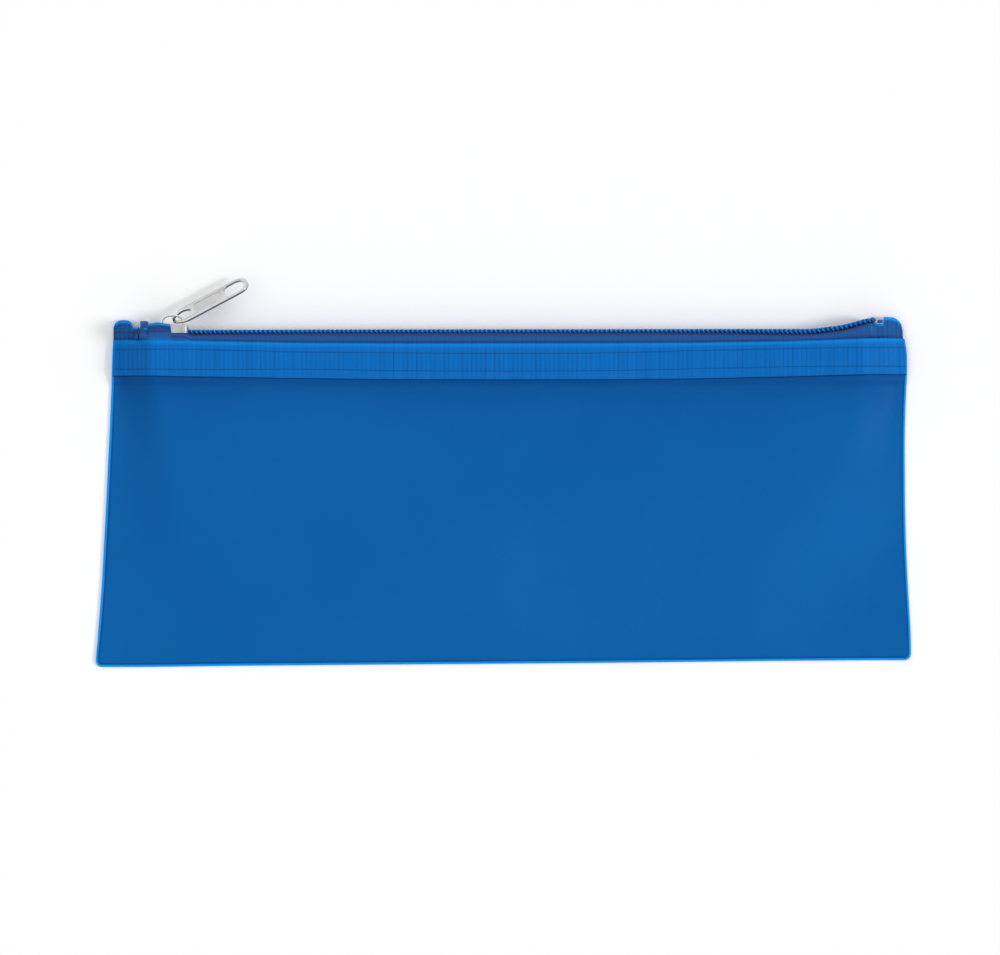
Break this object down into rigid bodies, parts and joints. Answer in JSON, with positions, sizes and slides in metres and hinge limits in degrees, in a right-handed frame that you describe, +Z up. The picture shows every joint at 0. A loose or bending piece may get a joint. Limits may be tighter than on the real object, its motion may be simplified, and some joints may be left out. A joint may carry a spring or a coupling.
{
  "type": "cash deposit bag",
  "caption": "Flat blue vinyl zippered cash deposit bag, with a coil zipper along its top edge and a metal slider and pull tab",
  "frame": {"origin": "on the face the bag rests on, at the middle of its length and a little above the middle of its height", "axes": "+X along the zipper from its closed end to its open end, +Y from the bottom weld to the zipper, +Z up out of the front sheet"},
  "size_m": [0.2657, 0.1274, 0.0108],
  "materials": {
    "vinyl": "royal-blue calendered vinyl sheet with a fine leather-like grain, semi-gloss",
    "tape": "woven polyester zipper tape, ribbed, royal blue",
    "coil": "royal-blue nylon monofilament coil, satin",
    "cord": "blue polyester filler cord",
    "thread": "blue polyester sewing thread",
    "stop": "blue moulded nylon end stop, satin",
    "slider_metal": "bright plated zinc die casting",
    "pull_metal": "bright plated zinc, polished rim and satin recessed face"
  },
  "bodies": {
    "bag": {"front_panel": "vinyl", "back_panel": "vinyl", "front_zipper_tape": "tape", "back_zipper_tape": "tape", "front_coil": "coil", "back_coil": "coil", "front_coil_cord": "cord", "back_coil_cord": "cord", "front_coil_stitching": "thread", "back_coil_stitching": "thread", "front_top_stop": "stop", "back_top_stop": "stop", "bottom_stop": "stop"},
    "slider": {"slider_body": "slider_metal", "slider_crown": "slider_metal"},
    "pull": {"pull_tab": "pull_metal"}
  },
  "joints": [
    {"name": "slider_slide", "type": "slide", "parent": "bag", "child": "slider", "axis": [1, 0, 0], "range_m": [-0.0024, 0.203], "deforming": ["front_coil", "back_coil", "front_coil_cord", "back_coil_cord", "front_coil_stitching", "back_coil_stitching", "front_zipper_tape", "back_zipper_tape"]},
    {"name": "pull_swing", "type": "hinge", "parent": "slider", "child": "pull", "pos_m": [-0.1074, 0.0558, 0.0054], "axis": [0, 0, 1], "range_deg": [-4, 112]}
  ]
}
